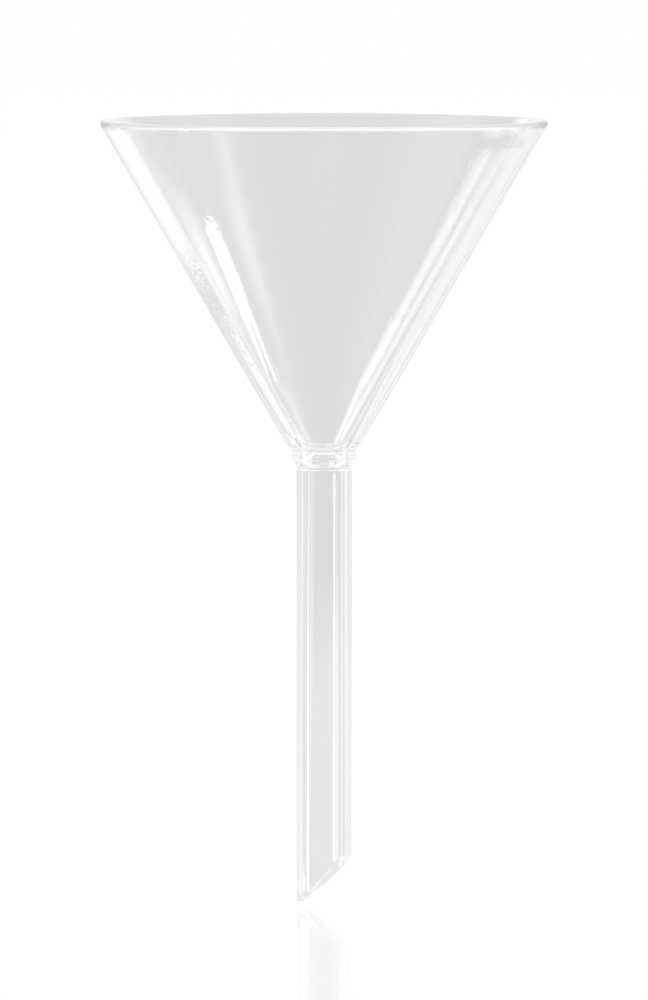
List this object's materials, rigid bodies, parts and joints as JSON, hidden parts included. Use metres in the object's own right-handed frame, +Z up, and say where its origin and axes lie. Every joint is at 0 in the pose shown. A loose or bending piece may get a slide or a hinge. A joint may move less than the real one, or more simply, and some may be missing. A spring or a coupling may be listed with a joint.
{
  "type": "filter funnel",
  "caption": "Plain clear glass laboratory filter funnel: open 60 degree cone with a fire-polished rim, fused neck and straight stem with a slant-cut tip.",
  "frame": {"origin": "on the funnel's axis in the neck plane, where the line of the cone's outside meets the outside of the stem", "axes": "+Z up the axis, from the stem towards the mouth; the stem's tip is on the -X side, so the slant face looks down and towards +X"},
  "size_m": [0.08, 0.08, 0.1421],
  "materials": {
    "bowl_glass": "clear, smooth, faint lengthwise waviness from forming",
    "rim_glass": "clear, cut level and fire-polished",
    "neck_glass": "clear, melted smooth, slightly green through its thickness",
    "stem_glass": "clear drawn tube with fine draw lines, tip ground and flamed"
  },
  "bodies": {
    "root": {"bowl": "bowl_glass", "rim": "rim_glass", "neck_seal": "neck_glass", "stem": "stem_glass"}
  },
  "joints": []
}
